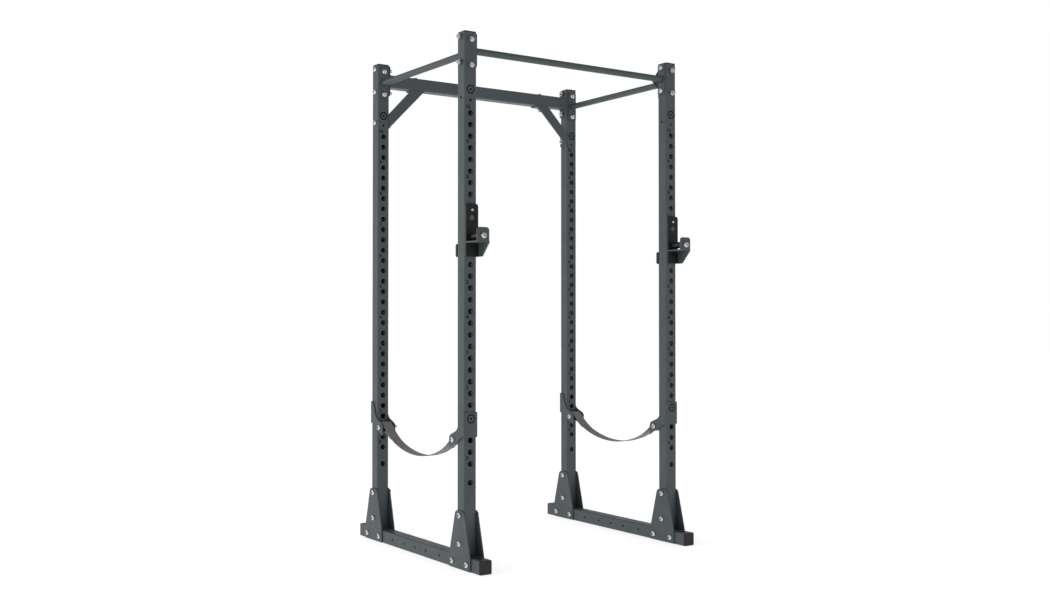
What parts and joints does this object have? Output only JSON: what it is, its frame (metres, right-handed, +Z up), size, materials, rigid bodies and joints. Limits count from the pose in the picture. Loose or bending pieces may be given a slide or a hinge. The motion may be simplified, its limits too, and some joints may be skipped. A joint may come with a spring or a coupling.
{
  "type": "power cage",
  "caption": "Four-post power cage with punched uprights, pull-up bars, roller J-cups and hanging strap safeties, standing on two floor tubes.",
  "frame": {"origin": "on the floor, midway between the four uprights", "axes": "+X towards the user's right, +Y towards the rear crossmember, +Z up"},
  "size_m": [1.2379, 1.112, 2.303],
  "materials": {
    "painted_steel": "satin powder coat",
    "black_plastic": "matte",
    "cap_plastic": "matte",
    "roller_plastic": "semi-gloss",
    "zinc": "bright zinc plate",
    "webbing": "woven"
  },
  "bodies": {
    "cage": {"upright_fl": "painted_steel", "top_cap_fl": "black_plastic", "floor_tube_cap_fl": "cap_plastic", "foot_plate_fl_outer": "painted_steel", "foot_plate_fl_inner": "painted_steel", "joint_bolt_fl_upper": "zinc", "joint_bolt_fl_lower": "zinc", "upright_fr": "painted_steel", "top_cap_fr": "black_plastic", "floor_tube_cap_fr": "cap_plastic", "foot_plate_fr_outer": "painted_steel", "foot_plate_fr_inner": "painted_steel", "joint_bolt_fr_upper": "zinc", "joint_bolt_fr_lower": "zinc", "upright_rl": "painted_steel", "top_cap_rl": "black_plastic", "floor_tube_cap_rl": "cap_plastic", "foot_plate_rl_outer": "painted_steel", "foot_plate_rl_inner": "painted_steel", "joint_bolt_rl_upper": "zinc", "joint_bolt_rl_lower": "zinc", "upright_rr": "painted_steel", "top_cap_rr": "black_plastic", "floor_tube_cap_rr": "cap_plastic", "foot_plate_rr_outer": "painted_steel", "foot_plate_rr_inner": "painted_steel", "joint_bolt_rr_upper": "zinc", "joint_bolt_rr_lower": "zinc", "floor_tube_left": "painted_steel", "side_pull_up_bar_left": "painted_steel", "corner_brace_left": "painted_steel", "safety_strap_left": "webbing", "floor_tube_right": "painted_steel", "side_pull_up_bar_right": "painted_steel", "corner_brace_right": "painted_steel", "safety_strap_right": "webbing", "rear_crossmember": "painted_steel", "front_pull_up_bar": "painted_steel"},
    "strap_bracket_fl": {"strap_bracket_fl": "painted_steel", "strap_bolt_fl": "zinc"},
    "strap_bracket_fr": {"strap_bracket_fr": "painted_steel", "strap_bolt_fr": "zinc"},
    "strap_bracket_rl": {"strap_bracket_rl": "painted_steel", "strap_bolt_rl": "zinc"},
    "strap_bracket_rr": {"strap_bracket_rr": "painted_steel", "strap_bolt_rr": "zinc"},
    "j_cup_left": {"j_cup_frame_left": "painted_steel", "j_cup_upper_liner_left": "black_plastic", "j_cup_lower_liner_left": "black_plastic", "j_cup_rear_liner_left": "black_plastic", "j_cup_axle_left": "zinc"},
    "roller_left": {"j_cup_roller_left": "roller_plastic"},
    "j_cup_right": {"j_cup_frame_right": "painted_steel", "j_cup_upper_liner_right": "black_plastic", "j_cup_lower_liner_right": "black_plastic", "j_cup_rear_liner_right": "black_plastic", "j_cup_axle_right": "zinc"},
    "roller_right": {"j_cup_roller_right": "roller_plastic"}
  },
  "joints": [
    {"name": "j_cup_swing_left", "type": "hinge", "parent": "cage", "child": "j_cup_left", "pos_m": [-0.566, -0.4355, 1.5], "axis": [0, -1, 0], "range_deg": [0, 90]},
    {"name": "roller_spin_left", "type": "hinge", "parent": "j_cup_left", "child": "roller_left", "pos_m": [-0.566, -0.488, 1.42], "axis": [0, 1, 0], "continuous": true},
    {"name": "j_cup_swing_right", "type": "hinge", "parent": "cage", "child": "j_cup_right", "pos_m": [0.566, -0.4355, 1.5], "axis": [0, -1, 0], "range_deg": [0, 90]},
    {"name": "roller_spin_right", "type": "hinge", "parent": "j_cup_right", "child": "roller_right", "pos_m": [0.566, -0.488, 1.42], "axis": [0, 1, 0], "continuous": true},
    {"name": "bracket_draw_fl", "type": "slide", "parent": "cage", "child": "strap_bracket_fl", "axis": [0, -1, 0], "range_m": [0, 0.016]},
    {"name": "bracket_draw_fr", "type": "slide", "parent": "cage", "child": "strap_bracket_fr", "axis": [0, -1, 0], "range_m": [0, 0.016]},
    {"name": "bracket_draw_rl", "type": "slide", "parent": "cage", "child": "strap_bracket_rl", "axis": [0, 1, 0], "range_m": [0, 0.016]},
    {"name": "bracket_draw_rr", "type": "slide", "parent": "cage", "child": "strap_bracket_rr", "axis": [0, 1, 0], "range_m": [0, 0.016]}
  ]
}
